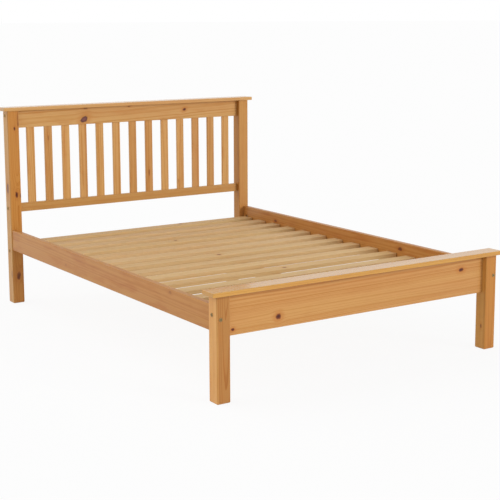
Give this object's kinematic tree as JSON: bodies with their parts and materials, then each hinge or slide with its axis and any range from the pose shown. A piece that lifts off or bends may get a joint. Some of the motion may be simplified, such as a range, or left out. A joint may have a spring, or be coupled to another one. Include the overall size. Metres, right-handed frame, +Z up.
{
  "type": "bed frame",
  "caption": "Pine bed frame with a tall slatted headboard, a low panelled foot end, bolted side rails and a slatted base over a centre rail with its own leg.",
  "frame": {"origin": "on the floor, at the middle of the bed's footprint", "axes": "+X across the bed to the right as seen from its foot, +Y from the foot end to the head end, +Z up"},
  "size_m": [1.484, 2.06, 1.004],
  "materials": {
    "honey_pine": "satin lacquer",
    "bare_pine": "planed, bare",
    "beech": "turned, bare",
    "yellow_zinc": "yellow zinc plated",
    "bright_zinc": "bright zinc plated",
    "nylon": "moulded"
  },
  "bodies": {
    "root": {"bed_slat_01": "bare_pine", "bed_slat_02": "bare_pine", "bed_slat_03": "bare_pine", "bed_slat_04": "bare_pine", "bed_slat_05": "bare_pine", "bed_slat_06": "bare_pine", "bed_slat_07": "bare_pine", "bed_slat_08": "bare_pine", "bed_slat_09": "bare_pine", "bed_slat_10": "bare_pine", "bed_slat_11": "bare_pine", "bed_slat_12": "bare_pine", "bed_slat_13": "bare_pine", "bed_slat_14": "bare_pine", "bed_slat_screws": "bright_zinc", "cap_dowels": "beech", "centre_leg": "bare_pine", "centre_leg_glide": "nylon", "centre_leg_stud": "bright_zinc", "centre_rail": "bare_pine", "centre_rail_hanger_foot": "bright_zinc", "centre_rail_hanger_head": "bright_zinc", "cleat_screws": "bright_zinc", "end_rail_barrel_nuts": "bright_zinc", "end_rail_bolts": "yellow_zinc", "end_rail_dowels": "beech", "foot_post_left": "honey_pine", "foot_post_right": "honey_pine", "footboard_cap": "honey_pine", "footboard_rail": "honey_pine", "hanger_screws": "bright_zinc", "head_bottom_rail": "honey_pine", "head_post_left": "honey_pine", "head_post_right": "honey_pine", "headboard_cap": "honey_pine", "headboard_lower_rail": "honey_pine", "headboard_slat_01": "honey_pine", "headboard_slat_02": "honey_pine", "headboard_slat_03": "honey_pine", "headboard_slat_04": "honey_pine", "headboard_slat_05": "honey_pine", "headboard_slat_06": "honey_pine", "headboard_slat_07": "honey_pine", "headboard_slat_08": "honey_pine", "headboard_slat_09": "honey_pine", "headboard_slat_10": "honey_pine", "headboard_slat_11": "honey_pine", "headboard_slat_12": "honey_pine", "headboard_slat_13": "honey_pine", "headboard_top_rail": "honey_pine", "side_rail_barrel_nuts": "bright_zinc", "side_rail_bolts": "yellow_zinc", "side_rail_dowels": "beech", "side_rail_left": "honey_pine", "side_rail_right": "honey_pine", "slat_cleat_left": "bare_pine", "slat_cleat_right": "bare_pine"}
  },
  "joints": []
}
